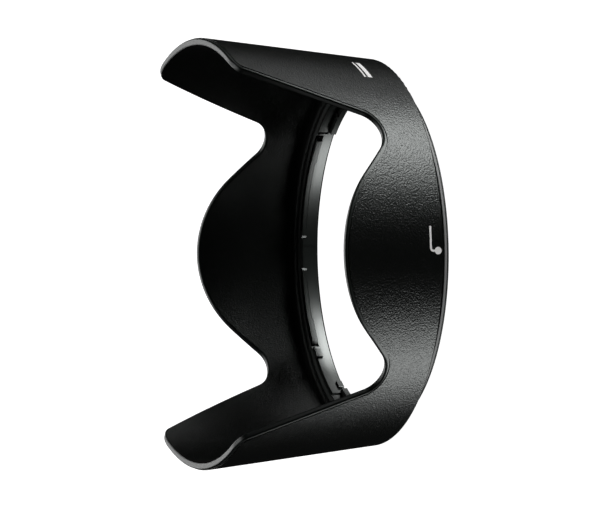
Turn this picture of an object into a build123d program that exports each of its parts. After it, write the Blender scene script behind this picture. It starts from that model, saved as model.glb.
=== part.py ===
from build123d import *
import os
from math import acos, atan2, cos, hypot, pi, radians, sin, tan

# Petal lens hood, in millimetres. The origin is on the optical axis, in the plane of the rear rim.
# +Z points forward, to the front of the petals. The long petals are at +X and -X, the short ones at
# +Y and -Y. Angles around the axis are counted from +Y towards +X.

# Shell: a straight cone with four petals
SHELL_REAR_Z = 3.0
FRONT_Z = 43.0
SHELL_REAR_RADIUS = 42.13
CONE_SLOPE = 0.1147
WALL = 1.65
SHOULDER_FILLET = 1.6
RIM_ROUND = 0.4
BORDER_WIDTH = 0.8
BORDER_DEPTH = 0.2
SIDE_INSET_AT_NOTCH, SIDE_INSET_AT_FRONT = 0.3, 0.1
REAR_EDGE_ROUND = 0.35
CLOSING_LINE_DEG = 54.0

# Outline of the petals, drawn on a cylinder of this radius and seen along Y
OUTLINE_RADIUS = 43.5
SHORT_TIP_Z = 26.4
SHORT_TIP_RADIUS = 25.3
NOTCH_BOTTOM_Z = 13.75
NOTCH_RADIUS = 4.53
LONG_SIDE_X_AT_NOTCH = 28.96
LONG_SIDE_X_AT_FRONT = 37.36
LONG_CORNER_RADIUS = 2.6

# Bayonet ring: a tube that stands out behind the shell, with a lip that sits in the shell's counterbore
BORE_RADIUS = 36.75
TUBE_RADIUS = 38.0
LIP_RADIUS = 38.65
RING_FRONT_Z = 4.25
LIP_REAR_Z = 3.5
RIM_CHAMFER_LENGTH = 0.62
RIM_CHAMFER_DEPTH = 0.8
RIM_OUTER_ROUND = 0.3
FINE_GROOVE_REAR_Z, FINE_GROOVE_FRONT_Z = 0.34, 0.5
FINE_GROOVE_DEPTH = 0.14
RIDGE_FRONT_Z = 0.98
GROOVE_FRONT_Z = 2.6
GROOVE_DEPTH = 0.4
BORE_FRONT_CHAMFER = 0.4
SEAT_GAP = 0.05
ROOTED = 0.3

# Detent arms: thin curved strips along the front of the bore, each with a wider head at its free end.
# The root of an arm is a thin neck with a round knuckle, which turns in a socket in the ring.
ARM_INNER_RADIUS = 36.3
ARM_THICKNESS = 0.65
ARM_REAR_Z = 3.15
ARM_FRONT_Z = 4.2
ARM_SLOT = 0.5
ARM_SIDE_GAP = 0.12
HEAD_RISE = 0.12
HEAD_EXTRA_WIDTH = 0.25
END_BEVEL_DEG = 0.75
ARM_EDGE_BEVEL = 0.2
ROOT_DEG = 5.3
KNUCKLE_DEG = 6.2
KNUCKLE_CENTRE_RADIUS = 37.05
KNUCKLE_RADIUS = 0.45
KNUCKLE_GAP = 0.04
NECK_GAP = 0.05
SLOT_START_DEG = 7.6
STRIP_START_DEG = 7.8
LONG_HEAD_DEG, LONG_END_DEG = 33.2, 43.7
SHORT_HEAD_DEG, SHORT_END_DEG = 24.2, 33.3
POCKET_EXTRA_DEG = 1.3

# Fixed claws, each with a relief in front of it for the lens's own claw
CLAW_INNER_RADIUS = 35.6
CLAW_REAR_Z = 0.65
CLAW_FRONT_Z = 1.85
CLAW_START, CLAW_END = 46.5, 123.5
CLAW_END_BEVEL = 0.8
CLAW_RIB_DEG = 56.7
CLAW_RIB_SPAN = 0.9
CLAW_RIB_HEIGHT = 0.3
RELIEF_RADIUS = 37.1
RELIEF_START, RELIEF_END = 46.0, 122.0
RELIEF_START_SLOPE, RELIEF_END_SLOPE = 1.0, 2.5

# Stops and mould marks on the bore
STOP_INNER_RADIUS = 36.2
STOP_ROUND = 0.2
REAR_STOP_START, REAR_STOP_END = 124.9, 128.6
FRONT_STOP_START, FRONT_STOP_END = 140.5, 144.1
FRONT_STOP_REAR_Z = 2.75
SEAM_DEG = 2.4
SEAM_WIDTH_DEG = 0.22
SEAM_HEIGHT = 0.07
EJECTOR_DEG = 0.3
EJECTOR_Z = 1.3
EJECTOR_RADIUS = 0.4
EJECTOR_HEIGHT = 0.03

# Printed marks, on the outside of the cone
INK = 0.06
DOT_X = 0.18
DOT_Z = 4.35
DOT_RADIUS = 0.8
LINE_Z = 6.1
LINE_WIDTH = 0.46
LINE_END_X = 5.4
TURN_RADIUS = 0.6
STRIPE_START, STRIPE_END = 109.0, 119.6
STRIPES = ((10.3, 11.3), (11.8, 12.2))

HALF_TURN = (0, 180)


def cone_radius(z):
    """Outer radius of the shell at height z."""
    return SHELL_REAR_RADIUS + CONE_SLOPE * (z - SHELL_REAR_Z)


def at(radius, angle):
    """Point in plan at this radius and angle, counted from +Y towards +X."""
    return (radius * sin(radians(angle)), radius * cos(radians(angle)))


def turned(shape, angle):
    """The shape turned about the optical axis, from +Y towards +X."""
    return Rot(0, 0, -angle) * shape


def revolved(points):
    """A body of revolution about the optical axis from (radius, z) corners."""
    return revolve(make_face(Plane.XZ * Polyline(*points, close=True)), Axis.Z)


def curved_bar(inner, outer, low_z, high_z, start, end, start_bevel=0.0, end_bevel=0.0):
    """A bar that follows the bore between two angles, its ends bevelled towards the axis."""
    middle = (start + end) / 2
    inner_start, inner_end = start + start_bevel, end - end_bevel
    back = ThreePointArc(at(outer, start), at(outer, middle), at(outer, end))
    front = ThreePointArc(at(inner, inner_end), at(inner, middle), at(inner, inner_start))
    sides = [Line(at(outer, end), at(inner, inner_end)), Line(at(inner, inner_start), at(outer, start))]
    plan = make_face([back.edge(), sides[0].edge(), front.edge(), sides[1].edge()])
    return Pos(0, 0, low_z) * extrude(plan, high_z - low_z)


def petal_outline(inset=0.0):
    """The region under the petals' front edge, seen along Y: arcs joined by tangent lines."""
    tip_centre = (0, SHORT_TIP_Z - SHORT_TIP_RADIUS)
    tip_z = SHORT_TIP_Z - inset
    tip_radius = SHORT_TIP_RADIUS - inset
    notch_bottom_z = NOTCH_BOTTOM_Z - inset
    notch_radius = NOTCH_RADIUS + inset
    corner_radius = LONG_CORNER_RADIUS - inset
    front_z = FRONT_Z - inset
    side_x_at_notch = LONG_SIDE_X_AT_NOTCH + SIDE_INSET_AT_NOTCH * inset
    side_x_at_front = LONG_SIDE_X_AT_FRONT + SIDE_INSET_AT_FRONT * inset
    rise = front_z - notch_bottom_z
    run = side_x_at_front - side_x_at_notch
    side_angle = atan2(rise, run)
    notch_x = side_x_at_notch + notch_radius * run / rise - notch_radius / sin(side_angle)
    notch_centre = (notch_x, notch_bottom_z + notch_radius)
    gap = hypot(notch_centre[0] - tip_centre[0], notch_centre[1] - tip_centre[1])
    bearing = atan2(notch_centre[1] - tip_centre[1], notch_centre[0] - tip_centre[0])
    flank = bearing + acos((tip_radius + notch_radius) / gap)

    def on_circle(centre, radius, angle):
        return (centre[0] + radius * cos(angle), centre[1] + radius * sin(angle))

    tip_top = (0, tip_z)
    tip_mid = on_circle(tip_centre, tip_radius, (pi / 2 + flank) / 2)
    tip_end = on_circle(tip_centre, tip_radius, flank)
    notch_start_angle, notch_end_angle = flank + pi, side_angle - pi / 2 + 2 * pi
    notch_start = on_circle(notch_centre, notch_radius, notch_start_angle)
    notch_mid = on_circle(notch_centre, notch_radius, (notch_start_angle + notch_end_angle) / 2)
    notch_end = on_circle(notch_centre, notch_radius, notch_end_angle)
    tangent = corner_radius * tan(side_angle / 2)
    corner_start = (side_x_at_front - tangent * cos(side_angle), front_z - tangent * sin(side_angle))
    corner_end = (side_x_at_front + tangent, front_z)
    corner_centre = (corner_end[0], front_z - corner_radius)
    corner_mid = on_circle(corner_centre, corner_radius, (pi / 2 + side_angle + pi / 2) / 2)
    far = 2 * FRONT_Z
    half = [
        ThreePointArc(tip_top, tip_mid, tip_end),
        Line(tip_end, notch_start),
        ThreePointArc(notch_start, notch_mid, notch_end),
        Line(notch_end, corner_start),
        ThreePointArc(corner_start, corner_mid, corner_end),
        Line(corner_end, (far, front_z)),
        Line((far, front_z), (far, -1)),
        Line((far, -1), (0, -1)),
        Line((0, -1), tip_top),
    ]
    right = make_face([line.edge() for line in half])
    return right + mirror(right, Plane.YZ)


def missing_wall(inset=0.0):
    """What the petals' outline leaves out of the wall, with rims square to the wall."""
    skin = Pos(0, 0, SHELL_REAR_Z + FRONT_Z) * Cylinder(OUTLINE_RADIUS, 2 * FRONT_Z)
    petals = extrude(Plane.XZ * petal_outline(inset), 2 * FRONT_Z, both=True)
    missing_skin = skin.faces().filter_by(GeomType.CYLINDER)[0] - petals
    return thicken(missing_skin.faces()[0], 3 * WALL, both=True)


def petal_shell():
    """The outer moulding: a cone with two long and two short petals and a seat for the ring."""
    top = FRONT_Z + WALL
    shoulder_inner = cone_radius(RING_FRONT_Z) - WALL
    corners = [
        (cone_radius(SHELL_REAR_Z), SHELL_REAR_Z),
        (cone_radius(top), top),
        (cone_radius(top) - WALL, top),
        (shoulder_inner, RING_FRONT_Z),
        (LIP_RADIUS + SEAT_GAP, RING_FRONT_Z),
        (LIP_RADIUS + SEAT_GAP, LIP_REAR_Z),
        (TUBE_RADIUS + SEAT_GAP, LIP_REAR_Z),
        (TUBE_RADIUS + SEAT_GAP, SHELL_REAR_Z),
    ]
    wall = make_face(Polyline(*corners, close=True))
    foot = wall.vertices().sort_by_distance((shoulder_inner, RING_FRONT_Z))[0]
    wall = fillet(foot, SHOULDER_FILLET)
    rear = wall.vertices().sort_by_distance(corners[0])[0]
    wall = fillet(rear, REAR_EDGE_ROUND)
    # The line where the cone closes on itself lies under a notch, where it is shortest
    cone = Rot(0, 0, CLOSING_LINE_DEG) * revolve(Plane.XZ * wall, Axis.Z)

    # A smooth border runs along the rims, a shallow step below the grained skin
    low, high = SHELL_REAR_Z, 2 * FRONT_Z
    low_radius, high_radius = cone_radius(low) - BORDER_DEPTH, cone_radius(high) - BORDER_DEPTH
    core = revolved([(low_radius, low), (high_radius, high), (0, high), (0, low)])
    stepped = cone - (missing_wall(BORDER_WIDTH) - core)

    missing = missing_wall()
    shell = stepped - missing
    rims = new_edges(stepped, missing, combined=shell)
    return fillet(rims, RIM_ROUND)


def ring_blank():
    """The tube and its lip, with a ridge between two grooves behind the shell."""
    corners = [
        (BORE_RADIUS + RIM_CHAMFER_DEPTH, 0),
        (TUBE_RADIUS, 0),
        (TUBE_RADIUS, FINE_GROOVE_REAR_Z),
        (TUBE_RADIUS - FINE_GROOVE_DEPTH, (FINE_GROOVE_REAR_Z + FINE_GROOVE_FRONT_Z) / 2),
        (TUBE_RADIUS, FINE_GROOVE_FRONT_Z),
        (TUBE_RADIUS, RIDGE_FRONT_Z),
        (TUBE_RADIUS - GROOVE_DEPTH, RIDGE_FRONT_Z),
        (TUBE_RADIUS - GROOVE_DEPTH, GROOVE_FRONT_Z),
        (TUBE_RADIUS, GROOVE_FRONT_Z),
        (TUBE_RADIUS, LIP_REAR_Z),
        (LIP_RADIUS, LIP_REAR_Z),
        (LIP_RADIUS, RING_FRONT_Z),
        (BORE_RADIUS + BORE_FRONT_CHAMFER, RING_FRONT_Z),
        (BORE_RADIUS, RING_FRONT_Z - BORE_FRONT_CHAMFER),
        (BORE_RADIUS, RIM_CHAMFER_LENGTH),
    ]
    section = make_face(Polyline(*corners, close=True))
    rim = section.vertices().sort_by_distance((TUBE_RADIUS, 0))[0]
    return revolve(Plane.XZ * fillet(rim, RIM_OUTER_ROUND), Axis.Z)


def bevelled(bar, z):
    """The bar with its inner edge at this height bevelled."""
    arcs = bar.edges().filter_by(GeomType.CIRCLE)
    arcs = arcs.filter_by_position(Axis.Z, z - ARM_EDGE_BEVEL, z + ARM_EDGE_BEVEL)
    return chamfer(arcs.sort_by(SortBy.LENGTH)[0], ARM_EDGE_BEVEL)


def detent_arm(head, end):
    """A spring strip with a thin neck and a knuckle at its root and a raised head at its free end."""
    back = ARM_INNER_RADIUS + ARM_THICKNESS
    neck_back = BORE_RADIUS - NECK_GAP
    height = ARM_FRONT_Z - ARM_REAR_Z
    neck = curved_bar(ARM_INNER_RADIUS, neck_back, ARM_REAR_Z, ARM_FRONT_Z, ROOT_DEG, STRIP_START_DEG + 1,
                      END_BEVEL_DEG, 0)
    strip = curved_bar(ARM_INNER_RADIUS, back, ARM_REAR_Z, ARM_FRONT_Z, STRIP_START_DEG, head + 1)
    strip = bevelled(strip, ARM_REAR_Z)
    raised = curved_bar(ARM_INNER_RADIUS - HEAD_RISE, back, ARM_REAR_Z - HEAD_EXTRA_WIDTH, ARM_FRONT_Z,
                        head, end, 0, END_BEVEL_DEG)
    raised = bevelled(raised, ARM_REAR_Z - HEAD_EXTRA_WIDTH)
    centre = at(KNUCKLE_CENTRE_RADIUS, KNUCKLE_DEG)
    knuckle = Pos(*centre, ARM_REAR_Z + height / 2) * Cylinder(KNUCKLE_RADIUS, height)
    return neck + strip + raised + knuckle


def arm_pocket(head, end):
    """The room for one arm: a slot behind the strip, a wider bay for the head and the knuckle's socket."""
    back = ARM_INNER_RADIUS + ARM_THICKNESS + ARM_SLOT
    clear = CLAW_INNER_RADIUS
    floor = ARM_REAR_Z - ARM_SIDE_GAP
    head_floor = floor - HEAD_EXTRA_WIDTH
    above = RING_FRONT_Z + 1
    slot = curved_bar(clear, back, floor, above, SLOT_START_DEG, head + 1)
    bay = curved_bar(clear, back, head_floor, above, head - POCKET_EXTRA_DEG / 2, end + POCKET_EXTRA_DEG)
    centre = at(KNUCKLE_CENTRE_RADIUS, KNUCKLE_DEG)
    depth = above - floor
    socket = Pos(*centre, floor + depth / 2) * Cylinder(KNUCKLE_RADIUS + KNUCKLE_GAP, depth)
    return slot + bay + socket


def claw():
    """A fixed claw of the bayonet with a small rib on its front face."""
    body = curved_bar(CLAW_INNER_RADIUS, BORE_RADIUS + ROOTED, CLAW_REAR_Z, CLAW_FRONT_Z,
                      CLAW_START, CLAW_END, CLAW_END_BEVEL, CLAW_END_BEVEL)
    rib = curved_bar(CLAW_INNER_RADIUS, BORE_RADIUS + ROOTED, CLAW_REAR_Z, CLAW_FRONT_Z + CLAW_RIB_HEIGHT,
                     CLAW_RIB_DEG - CLAW_RIB_SPAN / 2, CLAW_RIB_DEG + CLAW_RIB_SPAN / 2)
    return body + rib


def stop(low_z, high_z, start, end):
    """A small block on the bore with its inner corners rounded."""
    block = curved_bar(STOP_INNER_RADIUS, BORE_RADIUS + ROOTED, low_z, high_z, start, end)
    inner_corners = block.edges().filter_by(Axis.Z).sort_by_distance((0, 0, (low_z + high_z) / 2))[:2]
    return fillet(inner_corners, STOP_ROUND)


def mould_marks():
    """The seam line along the bore and the round mark of an ejector pin."""
    seam = curved_bar(BORE_RADIUS - SEAM_HEIGHT, BORE_RADIUS + ROOTED, RIM_CHAMFER_LENGTH,
                      RING_FRONT_Z - BORE_FRONT_CHAMFER, SEAM_DEG - SEAM_WIDTH_DEG / 2,
                      SEAM_DEG + SEAM_WIDTH_DEG / 2)
    x, y = at(BORE_RADIUS, EJECTOR_DEG)
    pin = Pos(x, y + (ROOTED - EJECTOR_HEIGHT) / 2, EJECTOR_Z) * Rot(90, 0, 0)
    return seam + pin * Cylinder(EJECTOR_RADIUS, ROOTED + EJECTOR_HEIGHT)


def bayonet_ring():
    """The inner moulding: the tube with its claws and stops and the pockets for the detent arms."""
    ring = ring_blank()
    relief = curved_bar(CLAW_INNER_RADIUS, RELIEF_RADIUS, CLAW_FRONT_Z, RING_FRONT_Z + 1, RELIEF_START,
                        RELIEF_END, -RELIEF_START_SLOPE, -RELIEF_END_SLOPE)
    long_pocket = arm_pocket(LONG_HEAD_DEG, LONG_END_DEG)
    short_pocket = mirror(arm_pocket(SHORT_HEAD_DEG, SHORT_END_DEG), Plane.YZ)
    rear_stop = stop(CLAW_REAR_Z, CLAW_FRONT_Z, REAR_STOP_START, REAR_STOP_END)
    front_stop = stop(FRONT_STOP_REAR_Z, ARM_FRONT_Z, FRONT_STOP_START, FRONT_STOP_END)
    for angle in HALF_TURN:
        for cut in (relief, long_pocket, short_pocket):
            ring -= turned(cut, angle)
        for raised in (claw(), rear_stop, front_stop, mould_marks()):
            ring += turned(raised, angle)
    return ring


def ink_layer(low_z, high_z):
    """A thin conical coat on the outside of the shell between two heights."""
    low, high = cone_radius(low_z), cone_radius(high_z)
    return revolved([(low, low_z), (high, high_z), (high + INK, high_z), (low + INK, low_z)])


def index_mark():
    """The alignment mark: a dot near the rear edge and a line that turns from it around the shell."""
    turn = (DOT_X + TURN_RADIUS, LINE_Z - TURN_RADIUS)
    dot = Pos(DOT_X, DOT_Z) * Circle(DOT_RADIUS)
    stem = Pos(DOT_X, (DOT_Z + turn[1]) / 2) * Rectangle(LINE_WIDTH, turn[1] - DOT_Z)
    bend = Pos(*turn) * (Circle(TURN_RADIUS + LINE_WIDTH / 2) - Circle(TURN_RADIUS - LINE_WIDTH / 2))
    bend &= Pos(turn[0] - TURN_RADIUS, turn[1] + TURN_RADIUS) * Rectangle(2 * TURN_RADIUS, 2 * TURN_RADIUS)
    line = Pos((turn[0] + LINE_END_X) / 2, LINE_Z) * Rectangle(LINE_END_X - turn[0], LINE_WIDTH)
    outline = Plane.XZ * (dot + stem + bend + line)
    return extrude(outline, 2 * SHELL_REAR_RADIUS) & ink_layer(SHELL_REAR_Z, NOTCH_BOTTOM_Z)


def print_stripes():
    """Two plain stripes on the side of the shell."""
    marks = []
    for low_z, high_z in STRIPES:
        sector = curved_bar(LIP_RADIUS, 2 * SHELL_REAR_RADIUS, low_z, high_z, STRIPE_START, STRIPE_END)
        marks.append(sector & ink_layer(low_z, high_z))
    return Compound(children=marks)


long_arm = detent_arm(LONG_HEAD_DEG, LONG_END_DEG)
short_arm = mirror(detent_arm(SHORT_HEAD_DEG, SHORT_END_DEG), Plane.YZ)
PARTS = {
    "petal_shell": petal_shell(),
    "bayonet_ring": bayonet_ring(),
    "index_mark": index_mark(),
    "print_stripes": print_stripes(),
}
for number, angle in enumerate(HALF_TURN, start=1):
    PARTS[f"long_detent_arm_{number}"] = turned(long_arm, angle)
    PARTS[f"short_detent_arm_{number}"] = turned(short_arm, angle)

os.makedirs("parts", exist_ok=True)
for name, shape in PARTS.items():
    export_step(shape, f"parts/{name}.step")
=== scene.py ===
from math import cos, radians, sin

import bpy
from mathutils import Matrix, Vector


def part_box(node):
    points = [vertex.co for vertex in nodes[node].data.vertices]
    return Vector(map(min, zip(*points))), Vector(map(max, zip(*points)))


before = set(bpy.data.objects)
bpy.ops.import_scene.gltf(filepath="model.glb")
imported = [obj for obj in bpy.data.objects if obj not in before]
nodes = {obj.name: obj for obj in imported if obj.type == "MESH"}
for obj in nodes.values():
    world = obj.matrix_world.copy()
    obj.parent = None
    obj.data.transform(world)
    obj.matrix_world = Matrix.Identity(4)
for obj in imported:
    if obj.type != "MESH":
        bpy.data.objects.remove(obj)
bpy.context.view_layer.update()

MM = 0.001

# The shell: a straight cone outside, whose rear edge is the lowest point of its box
SHELL_REAR_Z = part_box("petal_shell")[0].z
SHELL_REAR_RADIUS = 42.13 * MM
CONE_SLOPE = 0.1147
WALL = 1.65 * MM
# Depths into the wall, as parts of its thickness, where the grained outside fades into the smooth rim
# and the rim into the matte inside
GRAIN_FADES, GRAIN_FULL = 0.10, 0.02
MATTE_STARTS, MATTE_FULL = 0.93, 0.985

# The ring: anything beyond this radius is the outside of its tube, where a ridge runs around; a band about
# the ridge carries a painted highlight
TUBE_OUTSIDE_RADIUS = 37.5 * MM
RIDGE_Z = 0.74 * MM
RIDGE_HALF_WIDTH = 0.25 * MM

# Black plastic reflects with a very slight green cast
COOL_TINT = (0.95, 1.0, 0.975, 1.0)
SHELL_IOR = 1.5
RING_IOR = 1.85


# ---------------------------------------------------------------- node helpers

def feed(tree, socket, value):
    """Link the socket if the value is an output, otherwise set it."""
    if isinstance(value, bpy.types.NodeSocket):
        tree.links.new(value, socket)
    else:
        socket.default_value = value


class Nodes:
    """A short way to write a node tree: each call adds one node and links or sets its inputs."""

    def __init__(self, tree):
        self.tree = tree

    def add(self, kind, **inputs):
        props = {k: inputs.pop(k) for k in list(inputs) if k.startswith("_")}
        node = self.tree.nodes.new(kind)
        for key, value in props.items():
            setattr(node, key[1:], value)
        for key, value in inputs.items():
            by_number = key[0] == "i" and key[1:].isdigit()
            feed(self.tree, node.inputs[int(key[1:]) if by_number else key], value)
        return node

    def math(self, operation, a, b=0.0, c=0.0):
        return self.add("ShaderNodeMath", _operation=operation, i0=a, i1=b, i2=c).outputs[0]

    def fade(self, value, low, high):
        """0 where the value is at low, 1 where it is at high, and smooth between."""
        node = self.add("ShaderNodeMapRange", _interpolation_type="SMOOTHSTEP", Value=value)
        node.inputs["From Min"].default_value = low
        node.inputs["From Max"].default_value = high
        return node.outputs[0]

    def noise(self, vector, scale, detail=2.0, roughness=0.5, distortion=0.0):
        node = self.add("ShaderNodeTexNoise", Vector=vector, Scale=scale, Detail=detail, Roughness=roughness,
                        Distortion=distortion)
        return node.outputs["Fac"]

    def mix(self, factor, a, b):
        node = self.add("ShaderNodeMix", _data_type="FLOAT", Factor=factor)
        feed(self.tree, node.inputs[2], a)
        feed(self.tree, node.inputs[3], b)
        return node.outputs[0]

    def colour(self, factor, a, b):
        node = self.add("ShaderNodeMix", _data_type="RGBA", Factor=factor)
        feed(self.tree, node.inputs[6], a)
        feed(self.tree, node.inputs[7], b)
        return node.outputs[2]


def material(name):
    """A new material with one plastic shader, and the helper for its tree."""
    made = bpy.data.materials.new(name)
    made.use_nodes = True
    tree = made.node_tree
    tree.nodes.clear()
    n = Nodes(tree)
    shader = n.add("ShaderNodeBsdfPrincipled")
    out = n.add("ShaderNodeOutputMaterial")
    tree.links.new(shader.outputs[0], out.inputs["Surface"])
    return made, n, shader


def link(n, output, shader, name):
    """Link an output to the shader's input of this name."""
    n.tree.links.new(output, shader.inputs[name])


def grey(level, warm=0.0):
    """A grey of this level, shifted a little towards yellow."""
    return (level * (1 + warm), level, level * (1 - warm), 1.0)


def black(level):
    """A near black of this level with a slight green cast."""
    return (level * 0.75, level * 1.1, level * 0.9, 1.0)


# ---------------------------------------------------------------- materials

def shell_plastic():
    """Black plastic: a leathery grain outside, smooth rims, a fine matte inside."""
    made, n, shader = material("shell_black_plastic")
    place = n.add("ShaderNodeTexCoord").outputs["Object"]
    xyz = n.add("ShaderNodeSeparateXYZ", Vector=place)
    x, y, z = xyz.outputs
    radius = n.math("SQRT", n.math("ADD", n.math("MULTIPLY", x, x), n.math("MULTIPLY", y, y)))
    skin = n.math("MULTIPLY_ADD", n.math("SUBTRACT", z, SHELL_REAR_Z), CONE_SLOPE, SHELL_REAR_RADIUS)
    depth = n.math("DIVIDE", n.math("SUBTRACT", skin, radius), WALL)
    outside = n.fade(depth, GRAIN_FADES, GRAIN_FULL)
    inside = n.fade(depth, MATTE_STARTS, MATTE_FULL)

    pebbles = n.add("ShaderNodeTexVoronoi", _feature="SMOOTH_F1", Vector=place, Scale=2600.0, Randomness=1.0,
                    Smoothness=0.35).outputs["Distance"]
    grain = n.noise(place, 2900.0, 2.0, 0.5, 0.2)
    leather = n.math("ADD", n.math("MULTIPLY", pebbles, -0.7), n.math("MULTIPLY", grain, 0.8))
    fine = n.noise(place, 8000.0, 2.0, 0.6)
    outer_height = n.math("MULTIPLY_ADD", fine, 0.25, leather)
    inner_height = n.math("MULTIPLY", n.noise(place, 3000.0, 3.0, 0.6), 0.8)
    rim_height = n.noise(place, 900.0, 2.0, 0.4)
    height = n.mix(outside, n.mix(inside, n.math("MULTIPLY", rim_height, 0.05), inner_height), outer_height)
    bump = n.add("ShaderNodeBump", Strength=1.0, Distance=0.065 * MM, Height=height)
    link(n, bump.outputs[0], shader, "Normal")

    patches = n.noise(place, 60.0, 3.0, 0.6)
    rough_out = n.math("MULTIPLY_ADD", patches, 0.04, 0.25)
    rough_out = n.math("MULTIPLY_ADD", grain, 0.06, rough_out)
    rough_in = n.math("MULTIPLY_ADD", patches, 0.06, 0.34)
    rough_rim = n.math("MULTIPLY_ADD", rim_height, 0.06, 0.33)
    rough = n.mix(outside, n.mix(inside, rough_rim, rough_in), rough_out)
    link(n, rough, shader, "Roughness")

    base_out = n.colour(grain, black(0.0005), black(0.0015))
    base_in = n.colour(patches, black(0.002), black(0.0035))
    base = n.colour(inside, n.colour(outside, black(0.006), base_out), base_in)
    link(n, base, shader, "Base Color")
    shader.inputs["IOR"].default_value = SHELL_IOR
    shader.inputs["Specular Tint"].default_value = COOL_TINT
    return made


def ring_plastic():
    """Smooth satin black plastic with faint turning marks, a duller outside, and a painted highlight along
    the ridge of its tube.
    """
    made, n, shader = material("ring_black_plastic")
    place = n.add("ShaderNodeTexCoord").outputs["Object"]
    stretched = n.add("ShaderNodeMapping", Vector=place, Scale=(1.0, 1.0, 14.0)).outputs[0]
    lines = n.noise(stretched, 260.0, 3.0, 0.55)
    patches = n.noise(place, 90.0, 3.0, 0.6)
    fine = n.noise(place, 4200.0, 2.0, 0.5)
    height = n.math("MULTIPLY_ADD", fine, 0.35, n.math("MULTIPLY", lines, 0.3))
    bump = n.add("ShaderNodeBump", Strength=0.25, Distance=0.02 * MM, Height=height)
    link(n, bump.outputs[0], shader, "Normal")
    rough = n.math("MULTIPLY_ADD", patches, 0.08, 0.25)
    rough = n.math("MULTIPLY_ADD", lines, 0.06, rough)
    # The outside of the tube is handled: duller than the bore. Its ridge carries a painted highlight, a
    # patchy dark grey band in place of the light its edge catches
    flat = n.add("ShaderNodeVectorMath", _operation="MULTIPLY", i0=place, i1=(1.0, 1.0, 0.0)).outputs[0]
    radius = n.add("ShaderNodeVectorMath", _operation="LENGTH", i0=flat).outputs["Value"]
    outside = n.math("GREATER_THAN", radius, TUBE_OUTSIDE_RADIUS)
    height_z = n.add("ShaderNodeSeparateXYZ", Vector=place).outputs["Z"]
    off_ridge = n.math("ABSOLUTE", n.math("SUBTRACT", height_z, RIDGE_Z))
    ridge = n.math("MULTIPLY", outside, n.math("LESS_THAN", off_ridge, RIDGE_HALF_WIDTH))
    link(n, n.math("MULTIPLY_ADD", outside, 0.32, rough), shader, "Roughness")
    # Painted highlight: the ridge band is coloured grey to stand in for the light strip along the ridge
    painted_ridge_highlight = n.math("MULTIPLY", ridge, n.math("MULTIPLY_ADD", patches, 0.5, 0.7))
    link(n, n.colour(painted_ridge_highlight, black(0.005), grey(0.24)), shader, "Base Color")
    shader.inputs["IOR"].default_value = RING_IOR
    shader.inputs["Specular Tint"].default_value = COOL_TINT
    return made


def print_paint():
    """Off-white pad-printed ink: matte, a little uneven, following the grain under it."""
    made, n, shader = material("print_white_ink")
    place = n.add("ShaderNodeTexCoord").outputs["Object"]
    grain = n.noise(place, 1500.0, 3.0, 0.55, 0.6)
    patches = n.noise(place, 500.0, 2.0, 0.5)
    bump = n.add("ShaderNodeBump", Strength=0.3, Distance=0.03 * MM, Height=grain)
    link(n, bump.outputs[0], shader, "Normal")
    link(n, n.math("MULTIPLY_ADD", patches, 0.15, 0.5), shader, "Roughness")
    link(n, n.colour(patches, grey(0.84, 0.01), grey(0.94, 0.01)), shader, "Base Color")
    return made


def put(names, made):
    """Put the material on every slot of these nodes."""
    for name in names:
        for slot in nodes[name].material_slots:
            slot.material = made


put(["petal_shell"], shell_plastic())
put(["bayonet_ring"] + [name for name in nodes if "detent_arm" in name], ring_plastic())
put(["index_mark", "print_stripes"], print_paint())


# ---------------------------------------------------------------- stage, lights and camera

WHITE = (1, 1, 1, 1)
CARD_RADIUS = 30.3 * MM
CARD_Z = -0.4 * MM
FLOOR_HALF = 6.0
FLOOR_Z = -0.05 * MM
FLOOR_GLOW = 1.05
ROOM_FILL = 0.004

# Each light stands at this distance from the middle of the hood and faces it. Its row gives its name,
# the direction it stands in, its width and height in metres, and its power in watts.
LIGHT_DISTANCE = 0.8
HOOD_MIDDLE = Vector((0, 0, 15 * MM))
LIGHTS = (
    ("softbox_upper", (0.81, -0.35, -0.47), 0.50, 0.34, 5.8),
    ("softbox_lower", (-0.80, -0.30, -0.53), 0.50, 0.34, 3.7),
    ("rear_panel", (0.0, 0.93, 0.36), 0.60, 0.30, 1.4),
    ("front_panel", (0.0, 0.45, 0.89), 0.50, 0.50, 1.5),
    ("side_strip_upper", (0.93, -0.15, 0.32), 0.30, 0.30, 0.22),
    ("side_strip_lower", (-0.93, -0.15, 0.32), 0.30, 0.30, 0.18),
    ("back_strip", (0.90, 0.30, -0.30), 0.30, 0.30, 0.4),
)

# The camera looks from -Y and a little from the front, with +X up in the picture and +Z to the left
TILT = 0.3758
ROLL = -0.0110
DISTANCE = 1302.231 * MM
ASIDE = 1.895355 * MM
UPWARD = -0.414855 * MM
AIM_Z = 21.08967 * MM
FOCAL_IN_WIDTHS = 6006.9 / 600
SENSOR_WIDTH = 36.0


def placed(name, data):
    """A new object in the scene."""
    thing = bpy.data.objects.new(name, data)
    bpy.context.scene.collection.objects.link(thing)
    return thing


def flat_piece(name, corners, made):
    """A flat polygon with this material."""
    mesh = bpy.data.meshes.new(name)
    mesh.from_pydata(corners, [], [tuple(range(len(corners)))])
    mesh.materials.append(made)
    return placed(name, mesh)


def add_card():
    """A black card close behind the rear opening, which keeps the softboxes off the inner walls."""
    made, _, shader = material("black_card")
    shader.inputs["Base Color"].default_value = grey(0.0)
    shader.inputs["Specular IOR Level"].default_value = 0.0
    angles = [radians(a) for a in range(0, 360, 6)]
    corners = [(CARD_RADIUS * sin(a), CARD_RADIUS * cos(a), CARD_Z) for a in angles]
    card = flat_piece("black_card", corners, made)
    card.visible_camera = False


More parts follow.
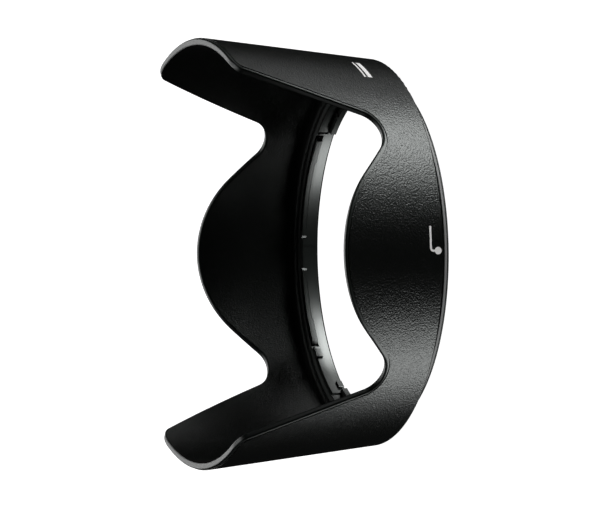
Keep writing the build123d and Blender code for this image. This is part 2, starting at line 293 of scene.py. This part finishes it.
def add_floor():
    """A plain white floor that only the camera sees."""
    made = bpy.data.materials.new("pale_floor")
    made.use_nodes = True
    made.node_tree.nodes.clear()
    n = Nodes(made.node_tree)
    glow = n.add("ShaderNodeEmission", Color=WHITE, Strength=FLOOR_GLOW)
    dull = n.add("ShaderNodeBsdfDiffuse", Color=(0.8, 0.8, 0.8, 1))
    both = n.add("ShaderNodeAddShader", i0=glow.outputs[0], i1=dull.outputs[0])
    n.add("ShaderNodeOutputMaterial", Surface=both.outputs[0])
    far = FLOOR_HALF
    floor = flat_piece("floor", [(-far, -far, 0), (far, -far, 0), (far, far, 0), (-far, far, 0)], made)
    floor.location.z = FLOOR_Z
    for ray in ("visible_shadow", "visible_glossy", "visible_diffuse", "visible_transmission"):
        setattr(floor, ray, False)


def add_light(name, towards, width, height, watts):
    """A rectangular light that faces the middle of the hood."""
    data = bpy.data.lights.new(name, "AREA")
    data.shape = "RECTANGLE"
    data.size, data.size_y = width, height
    data.energy = watts
    lamp = placed(name, data)
    lamp.location = HOOD_MIDDLE + Vector(towards).normalized() * LIGHT_DISTANCE
    lamp.rotation_euler = (HOOD_MIDDLE - lamp.location).to_track_quat("-Z", "Y").to_euler()


def add_room():
    """White where the camera looks past the floor, and almost dark as light."""
    room = bpy.data.worlds.new("studio")
    bpy.context.scene.world = room
    room.use_nodes = True
    room.node_tree.nodes.clear()
    n = Nodes(room.node_tree)
    seen_by_camera = n.add("ShaderNodeLightPath").outputs["Is Camera Ray"]
    seen = n.add("ShaderNodeBackground", Color=WHITE, Strength=1.0)
    fill = n.add("ShaderNodeBackground", Color=WHITE, Strength=ROOM_FILL)
    mixed = n.add("ShaderNodeMixShader", i0=seen_by_camera, i1=fill.outputs[0], i2=seen.outputs[0])
    n.add("ShaderNodeOutputWorld", Surface=mixed.outputs[0])


def add_camera():
    """The camera, from its tilt, its roll and its place across the line of sight."""
    back = Vector((0, -cos(TILT), sin(TILT)))
    up = Vector((1, 0, 0))
    right = up.cross(back)
    right_rolled = cos(ROLL) * right + sin(ROLL) * up
    up_rolled = -sin(ROLL) * right + cos(ROLL) * up
    camera = placed("camera", bpy.data.cameras.new("camera"))
    turn = Matrix((right_rolled, up_rolled, back)).transposed().to_4x4()
    eye = back * DISTANCE + right_rolled * ASIDE + up_rolled * UPWARD + Vector((0, 0, AIM_Z))
    camera.matrix_world = Matrix.Translation(eye) @ turn
    camera.data.sensor_width = SENSOR_WIDTH
    camera.data.lens = FOCAL_IN_WIDTHS * SENSOR_WIDTH
    camera.data.clip_end = 50.0
    bpy.context.scene.camera = camera


add_card()
for light in LIGHTS:
    add_light(*light)
add_room()
add_floor()
add_camera()
bpy.context.scene.view_settings.view_transform = "Standard"
